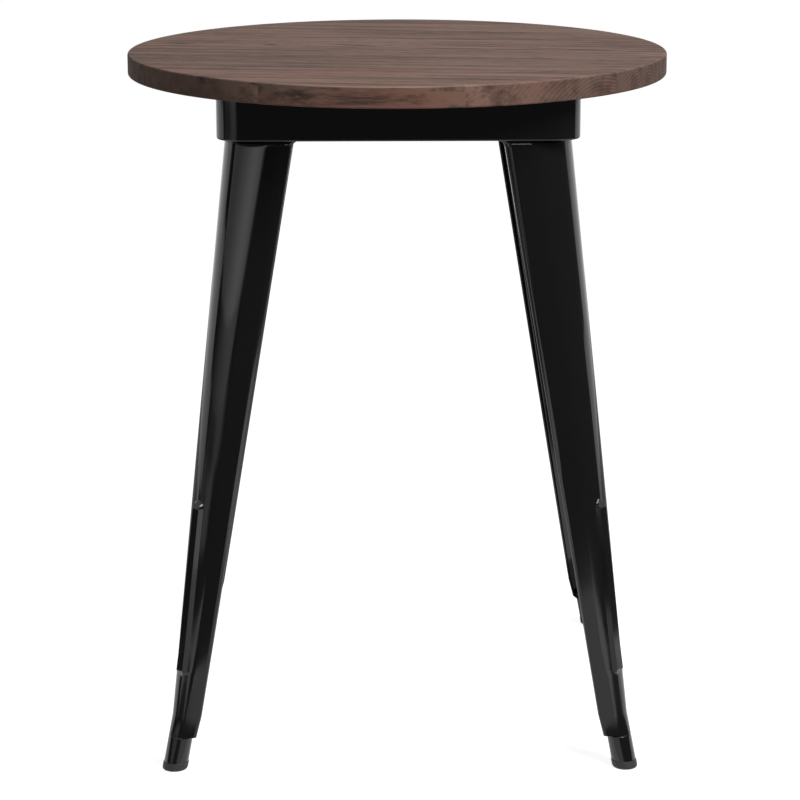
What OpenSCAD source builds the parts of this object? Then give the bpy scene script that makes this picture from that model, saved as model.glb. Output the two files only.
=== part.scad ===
// Round bistro table: a disc of glued boards on a square steel apron with four pressed legs.
// Millimetres, +Z up. The origin is on the floor, under the middle of the top.
// The front is at -Y, and the boards run from left to right, turned a little against the apron.

/* [Table] */
// Height of the top's upper face above the floor
table_h = 760; // [680:5:800]

/* [Tabletop] */
// Diameter of the round top
top_d = 603; // [560:1:700]
// Thickness of the boards
top_t = 23.5; // [20:0.5:32]
// Radius that eases the rim's upper and lower edges
edge_ease = 2; // [1:0.5:4]
// Turn of the boards against the apron, in degrees
board_turn = -8; // [-10:1:10]
// Depth of the sliver that the front board makes at the rim
front_board_w = 20; // [15:1:40]
// Width of the two boards in front of the middle seam
mid_board_w = 92; // [70:1:100]
// Width of the board behind the middle seam
wide_board_w = 126; // [110:1:140]
// Distance of the middle seam behind the table's middle
middle_seam = 24; // [10:1:30]

/* [Apron] */
// Width of the square apron, outside
apron_w = 390; // [370:5:430]
// Height of the apron
apron_h = 50; // [46:1:60]
// Outside radius of the apron's corners
apron_r = 27; // [26:1:34]
// Thickness of the apron's sheet
apron_t = 1.5; // [1:0.25:2]
// Outside radius of the bends along the apron's edges
apron_bend_r = 2; // [2:0.5:4]
// Width of the inward flange under the boards
flange_w = 24; // [22:1:25]
// Width of the inward lip at the apron's lower edge
lip_w = 9.5; // [8:0.5:11]

/* [Legs] */
// Thickness of the legs' sheet
leg_t = 1.8; // [1.2:0.2:2]
// Width of a leg's face where it leaves the apron
face_w_top = 75; // [73:1:80]
// Width of a leg's face at the shin
face_w_shin = 38; // [36:1:42]
// Width of a leg's face at the notch above the foot
face_w_notch = 31; // [29:0.5:33]
// Height of the shin, where the faces begin to close faster
shin_z = 136; // [125:1:150]
// Height of the notch, where the channel ends and the tube begins
notch_z = 37; // [34:1:45]
// Radius of the rounded outer corner where the leg leaves the apron
nose_r_top = 49; // [46:0.5:50.5]
// Radius of the same corner half-way down
nose_r_middle = 32.5; // [30:0.5:34]
// Height at which the corner has that radius
nose_middle_z = 400; // [350:10:450]
// Radius of the same corner at the shin
nose_r_shin = 24; // [22:1:26]
// Radius of the bend at the faces' inner edges, at the apron
bend_r_top = 9; // [8:0.5:10]
// Radius of the same bend at the notch
bend_r_notch = 3.5; // [3:0.5:4]
// Depth of the flange behind each inner edge, at the apron
return_w_top = 16; // [14:1:18]
// Depth of the same flange at the notch
return_w_notch = 8; // [7:0.5:9]
// How far the inner edges spread where they meet the apron
flare_w = 4.5; // [0:0.5:6]
// Length of that spread
flare_h = 8; // [6:1:12]
// How far a crease under the apron sets the leg back, so that it clears the apron's lip
crease_in = 2; // [1:0.5:3]
// Height of the crease
crease_h = 3.5; // [3:0.5:4]

/* [Feet] */
// Distance between two neighbouring feet, centre to centre
foot_pitch = 496; // [480:2:540]
// Diameter of the rolled tube that ends each leg
tube_d = 27; // [25:0.5:29]
// Sideways run of the tube for each millimetre of height
tube_lean = 0.19; // [0.1:0.01:0.25]
// Height at which the tube's lean takes over from the leg's
ankle_z = 60; // [50:1:70]
// Width of the seam that the rolled tube leaves open
seam_w = 2; // [1.5:0.5:3]
// Height of the foot cap below the tube
cap_h = 9; // [7:0.5:12]
// How far the cap stands proud of the tube
cap_proud = 0.5; // [0.3:0.1:1]
// Length of the cap's plug inside the tube
plug_h = 14; // [10:1:18]

/* [Ribs] */
// Height of the stiffening rib's upper end
rib_top_z = 298; // [285:1:320]
// Height of its lower end
rib_low_z = 104; // [95:1:110]
// How far the rib stands out
rib_h = 4.5; // [3:0.25:4.5]
// Half the width of the rib's flat crown
rib_crown = 4.7; // [4:0.1:5]
// Width of each sloping side of the rib
rib_side = 2.6; // [2.4:0.1:3.4]

/* [Frame] */
// Thickness of the corner brackets
bracket_t = 3; // [2:0.5:4]
// Distance from the table's middle to the middle of each rail
rail_x = 72; // [65:1:76]
// Width of the rails
rail_w = 30; // [26:1:34]
// Depth of the rails
rail_h = 14; // [10:1:18]
// Thickness of the rails' sheet
rail_t = 2; // [1.5:0.5:2.5]

/* [Fasteners] */
// Diameter of the leg bolts
bolt_d = 6; // [5:0.5:6]
// Width across the flats of bolt heads and nuts
hex_flats = 10; // [9:0.5:10]
// Height of the bolt heads
head_h = 4; // [3:0.5:5]
// Height of the nuts
nut_h = 4.8; // [4:0.2:5.2]
// Diameter of the washers
washer_d = 12; // [11:0.5:12.5]
// Thickness of the washers
washer_t = 1.4; // [1:0.2:2]
// Distance between the two bolts in a face
bolt_pitch = 20; // [18:1:22]
// Diameter of the wood screws
screw_d = 4.2; // [3.5:0.1:5]
// Length of the wood screws under their heads
screw_l = 16; // [14:1:18]
// Diameter of the wood screws' heads
screw_head_d = 8.5; // [7:0.5:9]
// Height of the wood screws' heads
screw_head_h = 2.6; // [2:0.2:3]

/* [Hidden] */

wood = "#5b443b";
black = "#17171a";
zinc = "#b8bcc0";
rubber = "#202022";

// Clearances
slide_gap = 0.3;
seat_gap = 0.1;
hole_gap = 0.25;
pilot_end = 1;
through = 1;
$fn = 48;
eps = 0.01;

// Heights
boards_z = table_h - top_t;
lip_z = boards_z - apron_h;
under_flange_z = boards_z - apron_t;

// Edges of the boards from front to rear, as distances behind the table's middle
seams = [
    -top_d / 2,
    -top_d / 2 + front_board_w,
    middle_seam - 2 * mid_board_w,
    middle_seam - mid_board_w,
    middle_seam,
    middle_seam + wide_board_w,
    top_d / 2
];
ease_steps = 4;
function board_middle(number) = (seams[number - 1] + seams[number]) / 2;

// The tube's middle and the leg's outer face, as distances from the table's middle
tube_r = tube_d / 2;
foot_c = foot_pitch / 2;
function tube_c(z) = foot_c - z * tube_lean;
function between(z, z0, v0, z1, v1) = v0 + (v1 - v0) * (z - z0) / (z1 - z0);
lip_face = apron_w / 2 - lip_w - slide_gap;
ankle_face = tube_c(ankle_z) + tube_r;
leg_slope = (ankle_face - lip_face - crease_in) / (lip_z - ankle_z);
leg_angle = atan(leg_slope);
crease_top_z = lip_z - 1;
function eased_step(t) = t < 0 ? 0 : t > 1 ? 1 : t * t * (3 - 2 * t);
function face(z) = z < ankle_z
    ? tube_c(z) + tube_r
    : ankle_face - (z - ankle_z) * leg_slope - crease_in * eased_step((z - crease_top_z) / crease_h + 1);

// Width of a face: narrow at the notch, wider at the shin, widest at the apron
function face_w(z) = z < shin_z
    ? between(z, notch_z, face_w_notch, shin_z, face_w_shin)
    : between(z, shin_z, face_w_shin, lip_z, face_w_top);
function flare(z) = z > lip_z ? flare_w : z < lip_z - flare_h ? 0 : flare_w * pow((z - lip_z + flare_h) / flare_h, 2);
function inner_edge(z) = face(z) - face_w(z) - flare(z);
function nose_r(z) =
    z < shin_z ? between(z, notch_z, tube_r, shin_z, nose_r_shin) :
    z < nose_middle_z ? between(z, shin_z, nose_r_shin, nose_middle_z, nose_r_middle) :
    between(z, nose_middle_z, nose_r_middle, lip_z, nose_r_top);
function bend_r(z) = between(z, notch_z, bend_r_notch, lip_z, bend_r_top);
function return_w(z) = between(z, notch_z, return_w_notch, lip_z, return_w_top);

// The rib rises over its end slopes, which are round in outline, and keeps its height between them
rib_slope_top = 9;
rib_slope_low = 7;
rib_tip_share = 0.25;
function rib_part(z) = max(0, min(1, (rib_top_z - z) / rib_slope_top, (z - rib_low_z) / rib_slope_low));
function rib_round(z) = max(rib_tip_share, sqrt(1 - pow(1 - rib_part(z), 2)));
function crown_half(z) = rib_crown * rib_round(z);
function rib_half(z) = (rib_crown + rib_side) * rib_round(z);

// Half of the channel's outline, from the nose's middle to the flange's end.
// Each entry holds a point on the outer skin and the direction in which the skin faces,
// stretched where the skin folds, so that the inner skin lies a sheet's thickness behind it.
nose_steps = 9;
bend_steps = 6;
degree = 180 / PI;
function skin(point, facing, half_fold = 0) = [point, [cos(facing), sin(facing)] / cos(half_fold)];
function nose_skin(i, z) =
    let (
        r = nose_r(z),
        crown_r = r + rib_h * rib_part(z),
        crown_turn = asin(crown_half(z) / crown_r),
        foot_turn = rib_half(z) / r * degree,
        side_turn = atan2(crown_r * cos(crown_turn) - r * cos(foot_turn), r * sin(foot_turn) - crown_half(z)),
        angle = between(i, 2, 45 - foot_turn, nose_steps, 0),
        c = face(z) - r
    )
    i == 0 ? skin(polar(c, crown_r * cos(crown_turn), 45), 45) :
    i == 1 ? skin(polar(c, crown_r, 45 - crown_turn), 45 - side_turn / 2, side_turn / 2) :
    i == 2 ? skin(polar(c, r, angle), 45 - (side_turn + foot_turn) / 2, (side_turn - foot_turn) / 2) :
    skin(polar(c, r, angle), angle);
function polar(c, r, angle) = [c + r * cos(angle), c + r * sin(angle)];
function bend_skin(i, z) =
    let (
        angle = -90 * i / bend_steps,
        r = bend_r(z)
    )
    skin([face(z) - r + r * cos(angle), inner_edge(z) + r + r * sin(angle)], angle);
function channel_half(z) = concat(
    [for (i = [0:nose_steps]) nose_skin(i, z)],
    [for (i = [0:bend_steps]) bend_skin(i, z)],
    [skin([face(z) - return_w(z), inner_edge(z)], -90)]
);

// Half of the tube's outline, with as many points as the channel's
half_steps = nose_steps + bend_steps + 2;
seam_angle = seam_w / 2 / tube_r * degree;
function tube_half(z) = [for (i = [0:half_steps])
    let (angle = 45 - i * (180 - seam_angle) / half_steps)
    skin(polar(tube_c(z), tube_r, angle), angle)
];

// A closed ring of 3-D points: outer skin one way, inner skin back
function swapped(p) = [p[1], p[0]];
function backwards(list) = [for (i = [len(list) - 1:-1:0]) list[i]];
function tail(list) = [for (i = [1:len(list) - 1]) list[i]];
function at_depth(half, depth) = [for (s = half) s[0] - depth * s[1]];
function both_halves(points) = concat(backwards(points), [for (p = tail(points)) swapped(p)]);
function skin_ring(half, z) =
    let (
        outer = both_halves(at_depth(half, 0)),
        inner = both_halves(at_depth(half, leg_t))
    )
    [for (p = concat(outer, backwards(inner))) [p[0], p[1], z]];

// A solid through a list of rings that run anticlockwise, lowest ring first.
// A folded sheet's ends are strips of faces between its two skins, and other ends are one face.
module loft(rings, sheet = false) {
    n = len(rings[0]);
    last = len(rings) - 1;
    function id(level, i) = level * n + i % n;
    sides = [for (level = [0:last - 1], i = [0:n - 1], half = [0, 1])
        half == 0
            ? [id(level, i), id(level + 1, i), id(level + 1, i + 1)]
            : [id(level, i), id(level + 1, i + 1), id(level, i + 1)]
    ];
    floor_faces = sheet ? [for (i = [0:n / 2 - 2]) [i, i + 1, n - 2 - i, n - 1 - i]] : [[for (i = [0:n - 1]) i]];
    roof_faces = [for (face = floor_faces) [for (i = backwards(face)) id(last, i)]];
    polyhedron([for (ring = rings) each ring], concat(floor_faces, sides, roof_faces));
}

// Levels of the leg's rings
leg_top_z = under_flange_z - slide_gap;
notch_step = 1.5;
tube_levels = [cap_h, notch_z - notch_step];
rib_end_shares = [0, 0.12, 0.35, 0.65, 1];
channel_levels = [
    notch_z,
    ankle_z,
    for (share = rib_end_shares) rib_low_z + rib_slope_low * share,
    shin_z,
    for (share = backwards(rib_end_shares)) rib_top_z - rib_slope_top * share,
    nose_middle_z,
    lip_z - flare_h,
    for (share = [0:0.2:1]) crease_top_z - crease_h * (1 - share),
    leg_top_z
];

// Bolts, in a frame whose +Z leaves the leg's outer face squarely
bolt_zs = [for (side = [-1, 1]) (lip_z + under_flange_z) / 2 + side * bolt_pitch / 2];
function flat_middle(z) = (inner_edge(z) + bend_r(z) + face(z) - nose_r(z)) / 2;
bolt_y = flat_middle((lip_z + under_flange_z) / 2);
stack_depth = (leg_t + seat_gap + bracket_t) * cos(leg_angle);
washer_in = -stack_depth - seat_gap - washer_t;
head_in = washer_in - seat_gap - head_h;
thread_end = 1.4;
thread_out = nut_h + thread_end;

module at_leg_bolts() {
    for (swap = [0, 1]) mirror([swap, -swap, 0])
        for (z = bolt_zs)
            translate([face(z), bolt_y, z]) rotate([0, 90 - leg_angle, 0]) children();
}

module at_corners() {
    for (quarter = [0:3]) rotate(90 * quarter) children();
}

// Screws that hold the boards: through the rails, and through the apron's flange.
// The rails take the three middle boards, and the flange takes their neighbours too.
rail_boards = [3:5];
flange_mid = apron_w / 2 - flange_w / 2 - apron_t / 2;
flange_screw_offset = 30;
function on_board(number, x) = board_middle(number) / cos(board_turn) + x * tan(board_turn);
module at_rail_screws() {
    for (x = [-rail_x, rail_x], number = rail_boards)
        translate([x, on_board(number, x), boards_z - rail_t]) children();
}
module at_flange_screws() {
    at_corners() for (side = [-1, 1])
        translate([flange_mid, side * flange_screw_offset, under_flange_z]) children();
}
module at_all_screws() {
    at_rail_screws() children();
    at_flange_screws() children();
}

// Tabletop
function eased(cx, cz, from) = [for (i = [0:ease_steps])
    let (angle = from + 90 * i / ease_steps)
    [cx + edge_ease * cos(angle), cz + edge_ease * sin(angle)]
];
module disc() {
    rim = top_d / 2 - edge_ease;
    rotate_extrude($fn = 180) polygon(concat(
        [[0, boards_z]],
        eased(rim, boards_z + edge_ease, -90),
        eased(rim, table_h - edge_ease, 0),
        [[0, table_h]]
    ));
}

module board(number) {
    color(wood) difference() {
        intersection() {
            disc();
            rotate(board_turn) translate([-top_d, seams[number - 1], 0])
                cube([2 * top_d, seams[number] - seams[number - 1], 2 * table_h]);
        }
        at_all_screws() cylinder(h = screw_l + pilot_end, d = screw_d + 2 * seat_gap);
    }
}

// Apron: one sheet with an inward flange at the top and an inward lip at the bottom
function quarter_arc(cx, cz, r, from) = [for (i = [0:4])
    [cx + r * cos(from + 22.5 * i), cz + r * sin(from + 22.5 * i)]
];
module apron_profile() {
    bend_in = apron_bend_r - apron_t;
    out = apron_r - apron_bend_r;
    low = lip_z + apron_bend_r;
    high = boards_z - apron_bend_r;
    polygon(concat(
        [[apron_r - lip_w, lip_z]],
        quarter_arc(out, low, apron_bend_r, -90),
        quarter_arc(out, high, apron_bend_r, 0),
        [[apron_r - flange_w, boards_z], [apron_r - flange_w, under_flange_z]],
        backwards(quarter_arc(out, high, bend_in, 0)),
        backwards(quarter_arc(out, low, bend_in, -90)),
        [[apron_r - lip_w, lip_z + apron_t]]
    ));
}
module apron() {
    side = apron_w / 2 - apron_r;
    color(black) difference() {
        at_corners() {
            translate([side, side, 0]) rotate_extrude(angle = 90) apron_profile();
            translate([side, side, 0]) rotate([90, 0, 0]) linear_extrude(height = 2 * side) apron_profile();
        }
        at_flange_screws() translate([0, 0, -eps]) cylinder(h = 2 * apron_t, d = screw_d + 2 * hole_gap);
    }
}

// Rails: channels across the boards, notched at the ends to pass under the flange
module rail(x) {
    reach = apron_w / 2 - apron_t;
    flange_edge = apron_w / 2 - flange_w;
    color(black) difference() {
        translate([x - rail_w / 2, -reach, boards_z - rail_h]) cube([rail_w, 2 * reach, rail_h]);
        translate([x - rail_w / 2 + rail_t, -reach - through, boards_z - rail_h - through])
            cube([rail_w - 2 * rail_t, 2 * (reach + through), rail_h - rail_t + through]);
        for (side = [0, 1]) mirror([0, side, 0])
            translate([x - rail_w, flange_edge, under_flange_z]) cube([2 * rail_w, flange_w, 2 * apron_t]);
        at_rail_screws() translate([0, 0, -eps]) cylinder(h = 2 * rail_t, d = screw_d + 2 * hole_gap);
    }
}

// Corner bracket: two wings behind the flat of the leg's faces, joined by a slanted web
bracket_rise = 4;
bracket_low_z = lip_z + bracket_rise;
wing_start = inner_edge(bracket_low_z) + bend_r(bracket_low_z);
function bracket_ring(z) =
    let (
        skin = face(z) - leg_t - seat_gap,
        back = skin - bracket_t,
        wing_end = face(z) - nose_r(z),
        mitre = bracket_t * tan(22.5),
        outer = [[skin, wing_start], [skin, wing_end], [wing_end, skin], [wing_start, skin]],
        inner = [[wing_start, back], [wing_end - mitre, back], [back, wing_end - mitre], [back, wing_start]]
    )
    [for (p = concat(outer, inner)) [p[0], p[1], z]];
module bracket(quarter) {
    color(black) rotate(90 * quarter) difference() {
        loft([bracket_ring(bracket_low_z), bracket_ring(under_flange_z)], sheet = true);
        at_leg_bolts() translate([0, 0, -2 * stack_depth])
            cylinder(h = 4 * stack_depth, d = bolt_d + 2 * hole_gap);
    }
}

// Leg: a pressed channel with a rounded nose, closing to a rolled tube above the foot
module leg(quarter) {
    rings = concat(
        [for (z = tube_levels) skin_ring(tube_half(z), z)],
        [for (z = channel_levels) skin_ring(channel_half(z), z)]
    );
    color(black) rotate(90 * quarter) difference() {
        loft(rings, sheet = true);
        at_leg_bolts() translate([0, 0, -2 * stack_depth])
            cylinder(h = 4 * stack_depth, d = bolt_d + 2 * hole_gap);
    }
}

// Foot cap: a round head under the tube and a plug inside it
cap_sides = 32;
cap_round = 2.5;
cap_chamfer = 0.6;
plug_chamfer = 1;
function cap_ring(z, r) = [for (i = [0:cap_sides - 1])
    [tube_c(z) + r * cos(360 * i / cap_sides), tube_c(z) + r * sin(360 * i / cap_sides), z]
];
module foot_cap(quarter) {
    head_r = tube_r + cap_proud;
    head_top = cap_h - seat_gap;
    plug_r = tube_r - leg_t - slide_gap;
    color(rubber) rotate(90 * quarter) loft([
        for (angle = [0:30:90]) cap_ring(cap_round * (1 - cos(angle)), head_r - cap_round * (1 - sin(angle))),
        cap_ring(head_top - cap_chamfer, head_r),
        cap_ring(head_top, head_r - cap_chamfer),
        cap_ring(head_top + eps, plug_r),
        cap_ring(cap_h + plug_h - plug_chamfer, plug_r),
        cap_ring(cap_h + plug_h, plug_r - plug_chamfer)
    ]);
}

// Fasteners
module hexagon(height, flats) {
    cylinder(h = height, d = flats / cos(30), $fn = 6);
}
module leg_bolts() {
    color(zinc) at_corners() at_leg_bolts() {
        translate([0, 0, head_in]) hexagon(head_h, hex_flats);
        translate([0, 0, head_in]) cylinder(h = thread_out - head_in, d = bolt_d);
    }
}
module leg_washers() {
    color(zinc) at_corners() at_leg_bolts() translate([0, 0, washer_in]) difference() {
        cylinder(h = washer_t, d = washer_d);
        translate([0, 0, -through]) cylinder(h = washer_t + 2 * through, d = bolt_d + 2 * hole_gap);
    }
}
module leg_nuts() {
    color(zinc) at_corners() at_leg_bolts() translate([0, 0, seat_gap]) difference() {
        hexagon(nut_h, hex_flats);
        translate([0, 0, -through]) cylinder(h = nut_h + 2 * through, d = bolt_d + 2 * seat_gap);
    }
}
module wood_screws() {
    color(zinc) at_all_screws() {
        translate([0, 0, -screw_head_h - seat_gap]) cylinder(h = screw_head_h, d = screw_head_d);
        translate([0, 0, -screw_head_h - seat_gap]) cylinder(h = screw_l + screw_head_h, d = screw_d);
    }
}

board(1);  // board_1
board(2);  // board_2
board(3);  // board_3
board(4);  // board_4
board(5);  // board_5
board(6);  // board_6
apron();
rail(-rail_x);  // rail_left
rail(rail_x);  // rail_right
bracket(0);  // bracket_rear_right
bracket(1);  // bracket_rear_left
bracket(2);  // bracket_front_left
bracket(3);  // bracket_front_right
leg(0);  // leg_rear_right
leg(1);  // leg_rear_left
leg(2);  // leg_front_left
leg(3);  // leg_front_right
foot_cap(0);  // foot_cap_rear_right
foot_cap(1);  // foot_cap_rear_left
foot_cap(2);  // foot_cap_front_left
foot_cap(3);  // foot_cap_front_right
leg_bolts();
leg_washers();
leg_nuts();
wood_screws();
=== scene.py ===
# Round bistro table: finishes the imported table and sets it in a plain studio.
# Lengths are in metres unless a name says otherwise, in the frame of the CAD part: +Z up, the front at -Y.
import math

import bpy
from mathutils import Matrix, Vector


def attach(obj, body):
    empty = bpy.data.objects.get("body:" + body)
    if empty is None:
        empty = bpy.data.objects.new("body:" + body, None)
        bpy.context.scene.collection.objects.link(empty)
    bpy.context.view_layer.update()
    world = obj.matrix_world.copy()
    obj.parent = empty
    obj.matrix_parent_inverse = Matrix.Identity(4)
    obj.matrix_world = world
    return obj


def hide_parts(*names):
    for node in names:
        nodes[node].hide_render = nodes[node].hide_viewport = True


bl_info = {
    "name": "Round bistro table",
    "version": (1, 0, 0),
    "blender": (4, 5, 0),
    "location": "3D Viewport > Sidebar > Bistro table",
    "description": "Finishes a packed round table with stained boards, black enamel and a plain studio",
    "category": "Object",
}

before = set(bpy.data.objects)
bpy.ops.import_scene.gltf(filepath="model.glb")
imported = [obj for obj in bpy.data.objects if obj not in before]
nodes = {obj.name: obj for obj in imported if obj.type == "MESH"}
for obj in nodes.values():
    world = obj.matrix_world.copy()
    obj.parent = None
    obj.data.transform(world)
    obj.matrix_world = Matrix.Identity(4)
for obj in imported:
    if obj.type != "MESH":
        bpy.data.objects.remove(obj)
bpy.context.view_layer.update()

MM = 0.001
CORNERS = ("rear_right", "rear_left", "front_left", "front_right")
# Points of the CAD mesh that lie closer than this are one point
MERGE_DISTANCE = 0.001 * MM


def linear(hex_colour):
    """The linear red, green and blue of an sRGB colour written as #rrggbb"""
    channels = [int(hex_colour[i:i + 2], 16) / 255 for i in (1, 3, 5)]
    return [c / 12.92 if c <= 0.04045 else ((c + 0.055) / 1.055) ** 2.4 for c in channels]


def rgba(colour):
    return (*colour, 1.0)


# Sizes and colours that a user would change

class TopSettings(bpy.types.PropertyGroup):
    light_stain: bpy.props.FloatVectorProperty(
        name="Light stain", description="Colour of the soft, pale part of each growth ring",
        subtype="COLOR", default=linear("#7b6358"), min=0, max=1)
    dark_stain: bpy.props.FloatVectorProperty(
        name="Dark stain", description="Colour of the hard, dark part of each growth ring",
        subtype="COLOR", default=linear("#42332d"), min=0, max=1)
    red_stain: bpy.props.FloatVectorProperty(
        name="Red stain", description="Colour where the stain keeps the wood's own red",
        subtype="COLOR", default=linear("#7e5244"), min=0, max=1)
    # Painted highlight: a pale colour laid along the top's eased edge in place of the light that it catches
    edge_highlight_colour: bpy.props.FloatVectorProperty(
        name="Worn stain", description="Colour of the stain where it is rubbed thin along the rim",
        subtype="COLOR", default=linear("#a08a7e"), min=0, max=1)
    streak_colour: bpy.props.FloatVectorProperty(
        name="Streaks", description="Colour of the dark mineral streaks",
        subtype="COLOR", default=linear("#2c211d"), min=0, max=1)
    board_turn: bpy.props.FloatProperty(
        name="Board turn", description="Turn of the boards against the apron",
        subtype="ANGLE", default=math.radians(-8))
    ring_width: bpy.props.FloatProperty(
        name="Ring width", description="Thickness of one growth ring",
        subtype="DISTANCE", default=3.6 * MM, min=1 * MM, max=10 * MM)
    seam_bevel: bpy.props.FloatProperty(
        name="Seam bevel", description="Width of the eased edge along each seam",
        subtype="DISTANCE", default=0.4 * MM, min=0.1 * MM, max=1 * MM)


class CoatSettings(bpy.types.PropertyGroup):
    coat_colour: bpy.props.FloatVectorProperty(
        name="Enamel", description="Colour of the black enamel",
        subtype="COLOR", default=linear("#151516"), min=0, max=1)
    roughness: bpy.props.FloatProperty(
        name="Roughness", description="Roughness of the enamel",
        subtype="FACTOR", default=0.08, min=0, max=1)
    edge_bevel: bpy.props.FloatProperty(
        name="Edge bevel", description="Width of the rounding that the enamel leaves on sheet edges",
        subtype="DISTANCE", default=0.3 * MM, min=0.05 * MM, max=0.8 * MM)


class StudioSettings(bpy.types.PropertyGroup):
    floor_colour: bpy.props.FloatVectorProperty(
        name="Floor", description="Colour of the paper floor",
        subtype="COLOR", default=linear("#bcbcbb"), min=0, max=1)
    floor_white: bpy.props.FloatProperty(
        name="Floor white", description="Share of white that the camera and reflections see on the floor",
        subtype="FACTOR", default=0.87, min=0, max=1)
    ambient: bpy.props.FloatProperty(
        name="Ambient light", description="Strength of the even light from all sides",
        subtype="FACTOR", default=0.26, min=0, max=2)
    key_power: bpy.props.FloatProperty(
        name="Key light", description="Power of the large softbox at the upper right",
        unit="POWER", default=100, min=0)
    top_power: bpy.props.FloatProperty(
        name="Top light", description="Power of the softbox straight above the table",
        unit="POWER", default=5, min=0)
    lens: bpy.props.FloatProperty(
        name="Lens", description="Focal length of the camera's lens, in millimetres",
        default=129.39, min=20, max=300)


# Steps that every piece shares

def add(tree, kind, inputs=None, **settings):
    """Adds a node, with its own settings, and a value or another node's output for each input"""
    node = tree.nodes.new(kind)
    for name, value in settings.items():
        setattr(node, name, value)
    for socket, value in (inputs or {}).items():
        if isinstance(value, bpy.types.Node):
            value = value.outputs[0]
        if isinstance(value, bpy.types.NodeSocket):
            tree.links.new(value, node.inputs[socket])
        else:
            node.inputs[socket].default_value = value
    return node


def ranged(tree, value, low, high, to_low, to_high):
    """A value's range from low to high, spread between two other values and kept between them"""
    return add(tree, "ShaderNodeMapRange", {
        "Value": value, "From Min": low, "From Max": high, "To Min": to_low, "To Max": to_high})


def mixed(tree, share, first, second):
    """The first colour, turning into the second as the share rises to 1"""
    mix = add(tree, "ShaderNodeMix", {"Factor": share, 6: first, 7: second}, data_type="RGBA")
    return mix.outputs[2]


def new_material(name):
    """An empty node material, and its tree"""
    material = bpy.data.materials.new(name)
    material.use_nodes = True
    material.node_tree.nodes.clear()
    return material, material.node_tree


def only(piece):
    """Selects one object alone and makes it active"""
    bpy.ops.object.select_all(action="DESELECT")
    bpy.context.view_layer.objects.active = piece
    piece.select_set(True)


def merged_copy(node_name, piece_name):
    """A copy of a CAD node's mesh, with its loose triangles joined, that stands for the node"""
    piece = bpy.data.objects.new(piece_name, nodes[node_name].data.copy())
    bpy.context.collection.objects.link(piece)
    only(piece)
    bpy.ops.mesh.customdata_custom_splitnormals_clear()
    bpy.ops.object.mode_set(mode="EDIT")
    bpy.ops.mesh.select_all(action="SELECT")
    bpy.ops.mesh.remove_doubles(threshold=MERGE_DISTANCE)
    bpy.ops.mesh.tris_convert_to_quads(face_threshold=math.radians(3), shape_threshold=math.radians(60))
    bpy.ops.object.mode_set(mode="OBJECT")
    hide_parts(node_name)
    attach(piece, "root")
    return piece


def bevel_edges(piece, width, angle, segments=1):
    """Eases the edges that are sharper than the angle"""
    only(piece)
    bevel = piece.modifiers.new("Eased edges", "BEVEL")
    bevel.width = width
    bevel.segments = segments
    bevel.limit_method = "ANGLE"
    bevel.angle_limit = math.radians(angle)
    bevel.use_clamp_overlap = True
    bpy.ops.object.modifier_apply(modifier=bevel.name)


def smooth(piece, angle):
    """Smooths the piece's curved faces, and keeps its flat faces flat"""
    only(piece)
    bpy.ops.object.shade_smooth_by_angle(angle=math.radians(angle))
    weighted = piece.modifiers.new("Flat faces stay flat", "WEIGHTED_NORMAL")
    weighted.mode = "FACE_AREA_WITH_ANGLE"
    weighted.keep_sharp = True
    bpy.ops.object.modifier_apply(modifier=weighted.name)


def coat(piece, material):
    """Gives the whole piece one material"""
    piece.data.materials.clear()
    piece.data.materials.append(material)


# Walnut-stained solid wood, brushed and oiled: growth rings in three dimensions, so that one pattern
# gives long grain on the top and rings on the ends, with a low, matte sheen.

# Each board's pith, as millimetres behind the table's middle and above the floor, its tilt against
# the board in degrees, the board's tone, how red it is and how far its rings show
BOARD_GRAIN = {
    1: (-300, 560, 0.6, 0.88, 0.7, 0.25),
    2: (-174, 702, 0.5, 1.02, 0.3, 0.4),
    3: (-96, 655, -1.1, 0.93, 0.05, 0.35),
    4: (-10, 860, 0.8, 1.04, 0.0, 0.35),
    5: (128, 640, -0.7, 1.04, 0.1, 0.4),
    6: (250, 880, 1.2, 1.05, 0.0, 0.35),
}

# How far one board's pattern starts from the next board's
PATTERN_STEP = 0.7
# Width of the band that each ring wanders in
WANDER = 14 * MM
# How slowly the rings change along a board, as a share of the change across it
RING_STRETCH = 0.08
# Power that narrows the dark late wood within each ring
LATE_WOOD_POWER = 2.4
# Length of one wave of the wave texture at scale 1
WAVE_LENGTH = math.pi / 10

# Sizes of the grain's noise patterns in millimetres: along a board, across it and through it
WANDER_SIZE = (285.71, 71.429, 71.429)
FIBRE_SIZE = (16.667, 1.6667, 1.6667)
LINE_SIZE = (454.55, 5.8824, 7.6923)
FLECK_SIZE = (111.11, 16.667, 22.222)
BAND_SIZE = (400, 38.462, 45.455)
PATCH_SIZE = (166.67, 71.429, 50)

# Tones of the rim's left end, its right end and the upper face, against the front of the rim
LEFT_END_TONE = 0.62
RIGHT_END_TONE = 0.66
UPPER_FACE_TONE = 1.1

# Dark mineral streaks in the upper face: both ends and half the width, in millimetres
STREAKS = [
    (-82, 57, -12, 25, 5.5),
    (-275, 72, -220, 55, 4.0),
    (-156, 60, -130, 40, 4.5),
    (30, 46, 180, 9, 2.2),
    (120, 20, 280, -25, 4.0),
    (-290, -126, 10, -163, 2.6),
    (75, -192, 208, -203, 2.4),
    (-135, 170, 226, 116, 1.8),
    (146, -65, 164, -74, 3.0),
]
# Share of a streak's half width that is fully dark
STREAK_CORE = 0.25
# Half a streak's depth, so large that height makes no difference
STREAK_DEPTH = 1000


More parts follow.
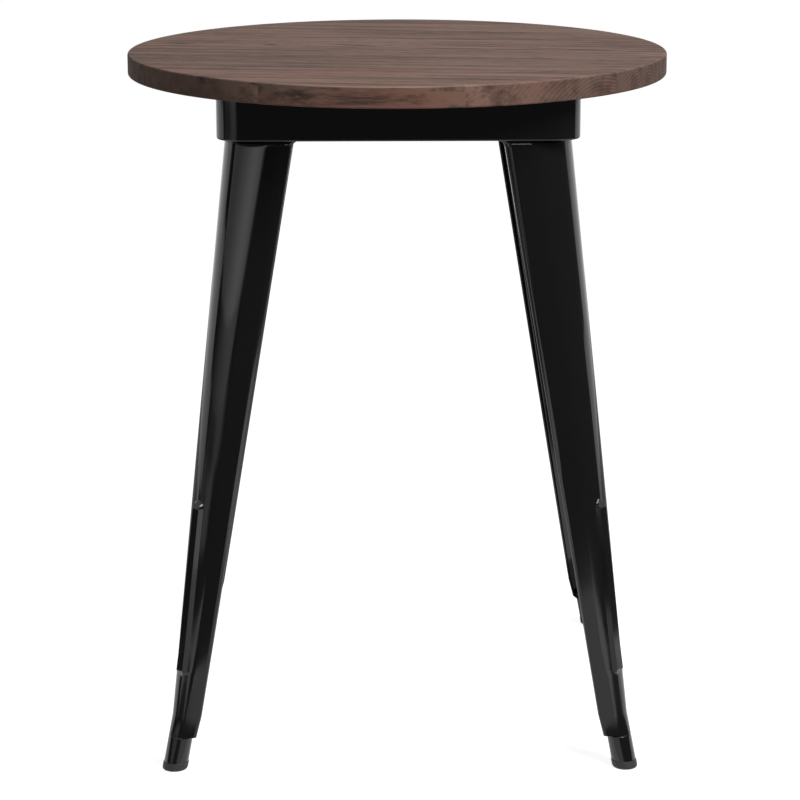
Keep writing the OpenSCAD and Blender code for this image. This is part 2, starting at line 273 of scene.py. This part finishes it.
def streak_mask(tree, place):
    """1 in the middle of each dark streak, falling to 0 at its edge"""
    mask = None
    for x0, y0, x1, y1, half_width in STREAKS:
        run = Vector(((x1 - x0) * MM, (y1 - y0) * MM))
        inside = add(tree, "ShaderNodeMapping", {
            "Vector": place,
            "Location": ((x0 + x1) / 2 * MM, (y0 + y1) / 2 * MM, 0),
            "Rotation": (0, 0, math.atan2(run.y, run.x)),
            "Scale": (run.length / 2, half_width * MM, STREAK_DEPTH),
        }, vector_type="TEXTURE")
        distance = add(tree, "ShaderNodeVectorMath", {0: inside}, operation="LENGTH")
        dark = add(tree, "ShaderNodeMapRange", {
            "Value": distance.outputs["Value"], "From Min": STREAK_CORE, "To Min": 1, "To Max": 0,
        }, interpolation_type="SMOOTHSTEP")
        mask = dark if mask is None else add(tree, "ShaderNodeMath", {0: mask, 1: dark}, operation="MAXIMUM")
    return mask


def grain_noise(tree, place, size, detail=2.0, roughness=0.5):
    """Noise with a size in millimetres along a board, across it and through it"""
    waves = [1 / (length * MM) for length in size]
    return add(tree, "ShaderNodeTexNoise", {
        "Vector": add(tree, "ShaderNodeMapping", {"Vector": place, "Scale": waves}),
        "Scale": 1.0, "Detail": detail, "Roughness": roughness,
    })


def cut_directions(tree, board_turn):
    """How squarely a surface cuts the grain, and how far it faces up"""
    normal = add(tree, "ShaderNodeNewGeometry").outputs["Normal"]
    grain = (math.cos(board_turn), math.sin(board_turn), 0)
    # 0 along the boards, 1 at their right ends and -1 at the left
    facing = add(tree, "ShaderNodeVectorMath", {0: normal, 1: grain}, operation="DOT_PRODUCT")
    upward = add(tree, "ShaderNodeSeparateXYZ", {0: normal})
    return facing.outputs["Value"], upward.outputs["Z"]


def growth_rings(tree, along, ring_width):
    """Rings about the pith, and the place that wanders by a few millimetres over a hand's width"""
    wander = add(tree, "ShaderNodeVectorMath", {
        0: grain_noise(tree, along, WANDER_SIZE).outputs["Color"], 1: (0.5, 0.5, 0.5),
    }, operation="SUBTRACT")
    wandering = add(tree, "ShaderNodeVectorMath", {
        0: wander, 1: (0, WANDER, WANDER), 2: along,
    }, operation="MULTIPLY_ADD")
    rings = add(tree, "ShaderNodeTexWave", {
        "Vector": add(tree, "ShaderNodeMapping", {"Vector": wandering, "Scale": (RING_STRETCH, 1, 1)}),
        "Scale": WAVE_LENGTH / ring_width,
        "Distortion": 1.6, "Detail": 3.0, "Detail Scale": 0.6, "Detail Roughness": 0.6,
    }, wave_type="RINGS", rings_direction="X", wave_profile="SAW")
    return rings.outputs["Fac"], wandering


def late_wood_darkness(tree, rings, flecks, facing, ring_show):
    """The dark late wood of each ring, weaker under the flecks and clearest on the right end grain"""
    late_wood = add(tree, "ShaderNodeMath", {0: rings, 1: LATE_WOOD_POWER}, operation="POWER")
    ring_share = ranged(tree, flecks, 0.35, 0.65, ring_show * 1.5, ring_show * 0.3)
    right_end = ranged(tree, facing, 0.5, 0.75, 0.4, 1.6)
    strength = add(tree, "ShaderNodeMath", {0: ring_share, 1: right_end}, operation="MULTIPLY")
    return add(tree, "ShaderNodeMath", {0: late_wood, 1: strength, 2: 0.05}, operation="MULTIPLY_ADD")


def grain_darkness(tree, along, wandering, rings, fibres, directions, ring_show):
    """How dark the stain is: late wood, fibres, lines half a centimetre wide, flecks and broad bands"""
    facing, end_share, upward = directions
    lines = grain_noise(tree, along, LINE_SIZE, detail=3.0, roughness=0.65)
    flecks = grain_noise(tree, wandering, FLECK_SIZE, detail=4.0, roughness=0.6)
    bands = grain_noise(tree, wandering, BAND_SIZE)
    darkness = late_wood_darkness(tree, rings, flecks, facing, ring_show)

    # Fibres and lines show along the boards, and flecks most on the rim's sawn edge
    long_grain = ranged(tree, end_share, 0.2, 0.6, 1.2, 0.25)
    sawn_edge = ranged(tree, upward, 0, 1, 1.7, 1.0)
    for noise, low, high, shown in (
            (fibres, -0.2, 0.3, long_grain), (lines, -0.5, 0.65, long_grain),
            (flecks, -0.27, 0.36, sawn_edge), (bands, -0.2, 0.3, 1.0)):
        share = ranged(tree, noise, 0.3, 0.7, low, high)
        darkness = add(tree, "ShaderNodeMath", {0: share, 1: shown, 2: darkness}, operation="MULTIPLY_ADD")
    darkness.use_clamp = True
    return darkness


def stain_colour(tree, top, place, along, darkness, redness):
    """Pale stain, red in patches, darkened by the grain and crossed by the dark streaks"""
    patches = grain_noise(tree, along, PATCH_SIZE)
    red_share = ranged(tree, patches, 0.35, 0.65, 0.0, redness)
    pale = mixed(tree, red_share, rgba(top.light_stain), rgba(top.red_stain))
    wood = mixed(tree, darkness, pale, rgba(top.dark_stain))
    return mixed(tree, streak_mask(tree, place), wood, rgba(top.streak_colour))


def painted_edge_highlight(tree, end_share, upward):
    """Painted highlight along the top's eased edge, where it follows the grain: a pale share that stands in
    for the light that the edge catches
    """
    sideways = add(tree, "ShaderNodeMath", {0: 1.0, 1: upward}, operation="SUBTRACT")
    edge = add(tree, "ShaderNodeMath", {0: sideways, 1: upward}, operation="MULTIPLY")
    strength = ranged(tree, end_share, 0.15, 0.4, 3.4, 0.3)
    return add(tree, "ShaderNodeMath", {0: edge, 1: strength}, operation="MULTIPLY", use_clamp=True)


def toned(tree, colour, facing, upward, tone):
    """Darkens the end grain, which drinks more stain, and lightens the sanded upper face a little"""
    left_end = ranged(tree, facing, -0.6, -0.15, LEFT_END_TONE, 1.0)
    right_end = ranged(tree, facing, 0.35, 0.7, 1.0, RIGHT_END_TONE)
    upper_face = ranged(tree, upward, 0.5, 1.0, tone, tone * UPPER_FACE_TONE)
    for factor in (left_end, right_end, upper_face):
        colour = add(tree, "ShaderNodeVectorMath", {0: colour, "Scale": factor}, operation="SCALE")
    return colour


def stained_wood(number, top):
    """Walnut-stained wood for one board"""
    pith_y, pith_z, tilt, tone, redness, ring_show = BOARD_GRAIN[number]
    material, tree = new_material(f"Walnut-stained wood, board {number}")
    place = add(tree, "ShaderNodeTexCoord").outputs["Object"]
    along = add(tree, "ShaderNodeMapping", {
        "Vector": place,
        "Rotation": (0, math.radians(tilt), -top.board_turn),
        "Location": (PATTERN_STEP * number, -pith_y * MM, -pith_z * MM),
    })
    facing, upward = cut_directions(tree, top.board_turn)
    end_share = add(tree, "ShaderNodeMath", {0: facing}, operation="ABSOLUTE")
    rings, wandering = growth_rings(tree, along, top.ring_width)
    fibres = grain_noise(tree, along, FIBRE_SIZE, detail=3.0, roughness=0.6)
    darkness = grain_darkness(
        tree, along, wandering, rings, fibres, (facing, end_share, upward), ring_show)

    stained = stain_colour(tree, top, place, along, darkness, redness)
    # Painted highlight: the pale edge colour mixed in along the top's eased edge
    highlighted_wood = mixed(tree, painted_edge_highlight(tree, end_share, upward), stained, rgba(top.edge_highlight_colour))
    roughness = ranged(tree, fibres, 0.3, 0.8, 0.66, 0.82)
    relief = add(tree, "ShaderNodeMath", {0: fibres, 1: -0.6, 2: rings}, operation="MULTIPLY_ADD")
    bump = add(tree, "ShaderNodeBump", {"Height": relief, "Strength": 0.35, "Distance": 0.25 * MM})
    shader = add(tree, "ShaderNodeBsdfPrincipled", {
        "Base Color": toned(tree, highlighted_wood, facing, upward, tone), "Roughness": roughness,
        "IOR": 1.42, "Specular IOR Level": 0.2, "Normal": bump,
    })
    add(tree, "ShaderNodeOutputMaterial", {"Surface": shader})
    return material


ENAMEL_NAME = "Black gloss enamel on steel"
# Sizes of the enamel's orange peel and smears, the rubber's grain and the zinc's dull spots
PEEL_SIZE = 3.5 * MM
SMEAR_SIZE = 60 * MM
RUBBER_GRAIN_SIZE = 0.8 * MM
DULL_SPOT_SIZE = 4 * MM


def even_noise(tree, size, detail):
    """Noise of one size in every direction"""
    place = add(tree, "ShaderNodeTexCoord").outputs["Object"]
    return add(tree, "ShaderNodeTexNoise", {"Vector": place, "Scale": 1 / size, "Detail": detail})


def black_enamel(settings):
    """Black gloss enamel, sprayed and baked on pressed steel: mirror-like, with a faint orange peel"""
    material, tree = new_material(ENAMEL_NAME)
    peel = even_noise(tree, PEEL_SIZE, detail=1.0)
    smears = even_noise(tree, SMEAR_SIZE, detail=3.0)
    roughness = ranged(tree, smears, 0.35, 0.7, settings.roughness * 0.8, settings.roughness * 1.4)
    bump = add(tree, "ShaderNodeBump", {"Height": peel, "Strength": 0.12, "Distance": 0.02 * MM})
    shader = add(tree, "ShaderNodeBsdfPrincipled", {
        "Base Color": rgba(settings.coat_colour), "Roughness": roughness, "IOR": 1.5, "Normal": bump,
    })
    add(tree, "ShaderNodeOutputMaterial", {"Surface": shader})
    return material


def black_rubber():
    """Black moulded rubber: matte, with the fine grain of its mould"""
    material, tree = new_material("Black moulded rubber")
    grain = even_noise(tree, RUBBER_GRAIN_SIZE, detail=3.0)
    tone = mixed(tree, grain, rgba(linear("#18181a")), rgba(linear("#262628")))
    bump = add(tree, "ShaderNodeBump", {"Height": grain, "Strength": 0.3, "Distance": 0.1 * MM})
    shader = add(tree, "ShaderNodeBsdfPrincipled", {
        "Base Color": tone, "Roughness": 0.62, "IOR": 1.52, "Normal": bump,
    })
    add(tree, "ShaderNodeOutputMaterial", {"Surface": shader})
    return material


def bright_zinc():
    """Zinc-plated steel: pale bluish metal, dull where it has been handled"""
    material, tree = new_material("Bright zinc plating")
    dullness = even_noise(tree, DULL_SPOT_SIZE, detail=4.0)
    roughness = ranged(tree, dullness, 0.3, 0.7, 0.22, 0.45)
    tone = mixed(tree, dullness, rgba(linear("#c3c7ca")), rgba(linear("#9fa4a6")))
    shader = add(tree, "ShaderNodeBsdfPrincipled", {
        "Base Color": tone, "Metallic": 1.0, "Roughness": roughness,
    })
    add(tree, "ShaderNodeOutputMaterial", {"Surface": shader})
    return material


def enamel_for(context):
    """The one enamel that the apron, rails, brackets and legs share"""
    found = bpy.data.materials.get(ENAMEL_NAME)
    return found or black_enamel(context.scene.table_coat)


class TABLE_OT_boards(bpy.types.Operator):
    """Gives each board eased seams and its own run of stained grain"""
    bl_idname = "table.boards"
    bl_label = "Boards"

    def execute(self, context):
        top = context.scene.table_top
        for number in BOARD_GRAIN:
            board = merged_copy(f"board_{number}", f"board_{number}_stained")
            bevel_edges(board, top.seam_bevel, angle=60)
            smooth(board, angle=30)
            coat(board, stained_wood(number, top))
        return {"FINISHED"}


class TABLE_OT_apron(bpy.types.Operator):
    """Enamels the folded apron, the rails under the boards and the corner brackets"""
    bl_idname = "table.apron"
    bl_label = "Apron, rails and brackets"

    def execute(self, context):
        enamel = enamel_for(context)
        names = ["apron", "rail_left", "rail_right"] + [f"bracket_{corner}" for corner in CORNERS]
        for name in names:
            piece = merged_copy(name, f"{name}_enamelled")
            bevel_edges(piece, context.scene.table_coat.edge_bevel, angle=60)
            smooth(piece, angle=30)
            coat(piece, enamel)
        return {"FINISHED"}


class TABLE_OT_legs(bpy.types.Operator):
    """Enamels the four pressed legs and rounds their sheet edges"""
    bl_idname = "table.legs"
    bl_label = "Legs"

    def execute(self, context):
        enamel = enamel_for(context)
        for corner in CORNERS:
            leg = merged_copy(f"leg_{corner}", f"leg_{corner}_enamelled")
            bevel_edges(leg, context.scene.table_coat.edge_bevel, angle=21, segments=2)
            smooth(leg, angle=32)
            coat(leg, enamel)
        return {"FINISHED"}


class TABLE_OT_feet(bpy.types.Operator):
    """Gives the four foot caps their rubber"""
    bl_idname = "table.feet"
    bl_label = "Foot caps"

    def execute(self, context):
        rubber = black_rubber()
        for corner in CORNERS:
            cap = merged_copy(f"foot_cap_{corner}", f"foot_cap_{corner}_moulded")
            smooth(cap, angle=40)
            coat(cap, rubber)
        return {"FINISHED"}


class TABLE_OT_fasteners(bpy.types.Operator):
    """Plates the bolts, washers, nuts and wood screws"""
    bl_idname = "table.fasteners"
    bl_label = "Fasteners"

    def execute(self, context):
        zinc = bright_zinc()
        for name in ("leg_bolts", "leg_washers", "leg_nuts", "wood_screws"):
            piece = merged_copy(name, f"{name}_plated")
            bevel_edges(piece, width=0.3 * MM, angle=50)
            smooth(piece, angle=30)
            coat(piece, zinc)
        return {"FINISHED"}


# The studio

# The floor disc, and how far it lies under the feet
FLOOR_RADIUS = 30
FLOOR_DROP = 0.2 * MM

# The cards hang round the table at these distances from its middle, and lie this high on the floor
FLAG_RADIUS = 2.7
SOFTBOX_RADIUS = 2.5
STRIP_RADIUS = 2.4
FLOOR_CARD_HEIGHT = 1 * MM
# What a black flag still sends back of the studio's light
FLAG_GLOW = 0.06
# Degrees that the bright part of a softbox's card turns over one metre of its height
SOFTBOX_SLANT = 35

# Both lamps' width and depth, their places, and the point that they are aimed at
LAMP_SIZE = (1.8, 1.4)
KEY_PLACE = (1.85, -1.85, 2.6)
TOP_PLACE = (0, 0, 2.8)
LAMP_AIM = (0, 0, 0.6)

# The photograph's place, and its swing to the side, tilt down and roll in degrees
CAMERA_PLACE = (-0.0250, -3.2250, 1.1598)
CAMERA_SWING = -0.491
CAMERA_TILT = 14.013
CAMERA_ROLL = -0.089
# Width of the camera's sensor in millimetres
SENSOR_WIDTH = 36


def seen_directly(tree):
    """1 for the camera's rays and for reflections, and 0 for the light that falls on surfaces"""
    path = add(tree, "ShaderNodeLightPath")
    seen = add(tree, "ShaderNodeMath", {
        0: path.outputs["Is Camera Ray"], 1: path.outputs["Is Glossy Ray"]}, operation="ADD")
    return add(tree, "ShaderNodeMath", {
        0: seen, 1: path.outputs["Is Transmission Ray"]}, operation="ADD", use_clamp=True)


def ramp_position(turn):
    """Where a turn in degrees to the right of the front falls on a ramp that runs round the table"""
    return 0.25 + turn / 360


def uneven_glow(tree, stops, slant):
    """Shares of a softbox's strength at turns from the front, slanted by some degrees a metre"""
    place = add(tree, "ShaderNodeTexCoord").outputs["Object"]
    height = add(tree, "ShaderNodeSeparateXYZ", {0: place}).outputs["Z"]
    around = add(tree, "ShaderNodeTexGradient", {"Vector": place}, gradient_type="RADIAL")
    slanted = add(tree, "ShaderNodeMath", {
        0: height, 1: -slant / 360, 2: around.outputs["Fac"]}, operation="MULTIPLY_ADD")
    ramp = add(tree, "ShaderNodeValToRGB", {"Fac": slanted})
    elements = ramp.color_ramp.elements
    elements.remove(elements[0])
    for number, (turn, share) in enumerate(stops):
        stop = elements.new(ramp_position(turn)) if number else elements[0]
        stop.position = ramp_position(turn)
        stop.color = (share, share, share, 1)
    return ramp


def reflected_only(card, radiance, stops=(), slant=0):
    """Makes an object a card that only reflections see: a black flag or a glowing softbox"""
    material, tree = new_material(f"Studio card, {card.name}")
    glow = add(tree, "ShaderNodeEmission", {"Strength": radiance})
    if stops:
        tree.links.new(uneven_glow(tree, stops, slant).outputs["Color"], glow.inputs["Color"])
    add(tree, "ShaderNodeOutputMaterial", {"Surface": glow})
    card.data.materials.append(material)
    card.visible_camera = False
    card.visible_diffuse = False
    card.visible_shadow = False
    card.visible_transmission = False


def curved_card(name, radius, turns, heights, radiance, stops=(), slant=0):
    """A card bent round the table, between two turns in degrees to the right of the front"""
    low, high = heights
    bpy.ops.object.select_all(action="DESELECT")
    bpy.ops.mesh.primitive_cylinder_add(
        vertices=180, radius=radius, depth=high - low, end_fill_type="NOTHING",
        location=(0, 0, (low + high) / 2))
    card = bpy.context.object
    card.name = name
    bpy.ops.object.mode_set(mode="EDIT")
    bpy.ops.mesh.select_mode(type="FACE")
    bpy.ops.mesh.select_all(action="DESELECT")
    bpy.ops.object.mode_set(mode="OBJECT")
    for face in card.data.polygons:
        turn = math.degrees(math.atan2(face.center.x, -face.center.y))
        face.select = not turns[0] < turn < turns[1]
    bpy.ops.object.mode_set(mode="EDIT")
    bpy.ops.mesh.delete(type="FACE")
    bpy.ops.object.mode_set(mode="OBJECT")
    reflected_only(card, radiance, stops, slant)


def floor_card(name, x_range, y_range, radiance, cuts=()):
    """A flat card on the floor, cut along lines that each have a point and the side that goes"""
    bpy.ops.object.select_all(action="DESELECT")
    width = x_range[1] - x_range[0]
    depth = y_range[1] - y_range[0]
    middle = (sum(x_range) / 2, sum(y_range) / 2, FLOOR_CARD_HEIGHT)
    bpy.ops.mesh.primitive_plane_add(size=1, location=middle)
    card = bpy.context.object
    card.name = name
    card.scale = (width, depth, 1)
    bpy.ops.object.transform_apply(location=True, scale=True)
    bpy.ops.object.mode_set(mode="EDIT")
    for point, away in cuts:
        bpy.ops.mesh.select_all(action="SELECT")
        bpy.ops.mesh.bisect(plane_co=(*point, 0), plane_no=(*away, 0), clear_outer=True)
    bpy.ops.object.mode_set(mode="OBJECT")
    reflected_only(card, radiance)


class TABLE_OT_studio(bpy.types.Operator):
    """Sets up the paper floor, the lights, the cards and the camera"""
    bl_idname = "table.studio"
    bl_label = "Studio"

    def execute(self, context):
        studio = context.scene.table_studio
        self.lay_floor(studio)
        self.light(studio)
        self.hang_cards()
        self.lay_floor_cards()
        self.place_camera(studio)
        context.scene.view_settings.view_transform = "Standard"
        return {"FINISHED"}

    def lay_floor(self, studio):
        """Matt white paper, wide enough to fill every view"""
        bpy.ops.object.select_all(action="DESELECT")
        bpy.ops.mesh.primitive_circle_add(
            vertices=64, radius=FLOOR_RADIUS, fill_type="NGON", location=(0, 0, -FLOOR_DROP))
        floor = bpy.context.object
        floor.name = "paper_floor"
        material, tree = new_material("Matt white paper")
        paper = add(tree, "ShaderNodeBsdfPrincipled", {
            "Base Color": rgba(studio.floor_colour), "Roughness": 0.9, "Specular IOR Level": 0.1,
        })
        white = add(tree, "ShaderNodeEmission", {
            "Strength": add(tree, "ShaderNodeMath", {
                0: seen_directly(tree), 1: studio.floor_white}, operation="MULTIPLY")})
        both = add(tree, "ShaderNodeAddShader", {0: paper, 1: white})
        add(tree, "ShaderNodeOutputMaterial", {"Surface": both})
        floor.data.materials.append(material)

    def light(self, studio):
        """Even light from all sides, and large softboxes above the right shoulder and above the table"""
        world = bpy.context.scene.world or bpy.data.worlds.new("Studio")
        bpy.context.scene.world = world
        world.use_nodes = True
        tree = world.node_tree
        tree.nodes.clear()
        strength = ranged(tree, seen_directly(tree), 0, 1, studio.ambient, 1.0)
        sky = add(tree, "ShaderNodeBackground", {"Strength": strength})
        add(tree, "ShaderNodeOutputWorld", {"Surface": sky})

        for name, place, power in (
                ("softbox_right", KEY_PLACE, studio.key_power),
                ("softbox_top", TOP_PLACE, studio.top_power)):
            lamp = bpy.data.lights.new(name, "AREA")
            lamp.shape = "RECTANGLE"
            lamp.size, lamp.size_y = LAMP_SIZE
            lamp.energy = power
            lamp_object = bpy.data.objects.new(name, lamp)
            bpy.context.collection.objects.link(lamp_object)
            lamp_object.location = place
            aim = Vector(LAMP_AIM) - lamp_object.location
            lamp_object.rotation_euler = aim.to_track_quat("-Z", "Y").to_euler()

    def hang_cards(self):
        """Black flags in front, as in a studio for gloss black, and low softboxes at the left"""
        for name, turns, heights in (
                ("flag_high", (-85, 85), (1.1, 3.0)),
                ("flag", (-98, 107), (0.38, 1.1)),
                ("flag_low", (-84, 96), (0, 0.38)),
                ("flag_foot_left", (-97, -84), (0, 0.15))):
            curved_card(name, FLAG_RADIUS, turns, heights, FLAG_GLOW)
        curved_card("softbox_left", SOFTBOX_RADIUS, (-104, -4), (0.6, 1.0), 1.5, [
            (-104, 0.35), (-75, 0.35), (-59, 0.6), (-44, 0.9), (-33, 1.05), (-21, 0.85), (-15, 0.7),
            (-11, 0.02)], SOFTBOX_SLANT)
        curved_card("softbox_left_middle", SOFTBOX_RADIUS, (-84, -16), (0.42, 0.6), 0.85, [
            (-82, 0.02), (-70, 0.35), (-52, 0.7), (-35, 0.9), (-26, 0.85), (-21, 0.02)], SOFTBOX_SLANT)
        curved_card("softbox_left_low", SOFTBOX_RADIUS, (-76, -16), (0.3, 0.42), 0.65, [
            (-76, 0.2), (-66, 0.3), (-54, 0.2), (-40, 0.8), (-30, 0.9), (-22, 0.4), (-17, 0.02)])
        curved_card("softbox_left_foot", SOFTBOX_RADIUS, (-80, -30), (0.15, 0.3), 0.65, [
            (-80, 0.4), (-72, 0.6), (-64, 0.45), (-50, 1.0), (-40, 0.9), (-32, 0.1)])
        curved_card("strip_front", STRIP_RADIUS, (-3, 14), (1.4, 2.4), 9.0)

    def lay_floor_cards(self):
        """Dark and dim cards that reflections see in place of the white paper"""
        reach = FLAG_RADIUS
        # The dark and the dim card in front meet along a line through this point
        meeting = (-0.3, -1.05)
        floor_card("dark_floor_front", (-0.85, reach), (-reach, -0.96), FLAG_GLOW, [
            (meeting, (0.84, 0.54))])
        floor_card("dark_floor_right", (1.5, reach), (-reach, 0.1), FLAG_GLOW)
        floor_card("dark_floor_left", (-reach, -1.15), (-0.5, 0.1), FLAG_GLOW)
        floor_card("dim_floor_left", (-reach, -1.6), (-reach, -1.45), 0.5)
        floor_card("dim_floor_feet", (-0.5, 0.5), (-1.9, -0.3), 0.85, [
            (meeting, (-0.84, -0.54))])
        floor_card("dim_floor_rear", (-reach, reach), (0.1, reach), 0.3, [
            ((-2.4, 1.15), (-0.743, 0.669)),
            ((2.4, 1.15), (0.743, 0.669))])

    def place_camera(self, studio):
        """The photograph's own view, on a long lens"""
        data = bpy.data.cameras.new("camera")
        data.lens = studio.lens
        data.sensor_width = SENSOR_WIDTH
        data.clip_end = 100
        camera = bpy.data.objects.new("camera", data)
        bpy.context.collection.objects.link(camera)
        camera.matrix_world = (
            Matrix.Translation(CAMERA_PLACE)
            @ Matrix.Rotation(math.radians(CAMERA_SWING), 4, "Z")
            @ Matrix.Rotation(math.radians(90 - CAMERA_TILT), 4, "X")
            @ Matrix.Rotation(math.radians(CAMERA_ROLL), 4, "Z")
        )
        bpy.context.scene.camera = camera


STEPS = (
    TABLE_OT_boards, TABLE_OT_apron, TABLE_OT_legs, TABLE_OT_feet, TABLE_OT_fasteners, TABLE_OT_studio,
)


class TABLE_PT_steps(bpy.types.Panel):
    """Lists the settings and the steps"""
    bl_idname = "TABLE_PT_steps"
    bl_label = "Bistro table"
    bl_space_type = "VIEW_3D"
    bl_region_type = "UI"
    bl_category = "Bistro table"

    def draw(self, context):
        scene = context.scene
        for settings in (scene.table_top, scene.table_coat, scene.table_studio):
            box = self.layout.box()
            for name in settings.__annotations__:
                box.prop(settings, name)
        for step in STEPS:
            self.layout.operator(step.bl_idname)


CLASSES = (TopSettings, CoatSettings, StudioSettings, *STEPS, TABLE_PT_steps)


def register():
    for cls in CLASSES:
        bpy.utils.register_class(cls)
    bpy.types.Scene.table_top = bpy.props.PointerProperty(type=TopSettings)
    bpy.types.Scene.table_coat = bpy.props.PointerProperty(type=CoatSettings)
    bpy.types.Scene.table_studio = bpy.props.PointerProperty(type=StudioSettings)


def unregister():
    del bpy.types.Scene.table_studio
    del bpy.types.Scene.table_coat
    del bpy.types.Scene.table_top
    for cls in reversed(CLASSES):
        bpy.utils.unregister_class(cls)


def main():
    register()
    bpy.ops.table.boards()
    bpy.ops.table.apron()
    bpy.ops.table.legs()
    bpy.ops.table.feet()
    bpy.ops.table.fasteners()
    bpy.ops.table.studio()


if __name__ == "__main__":
    main()
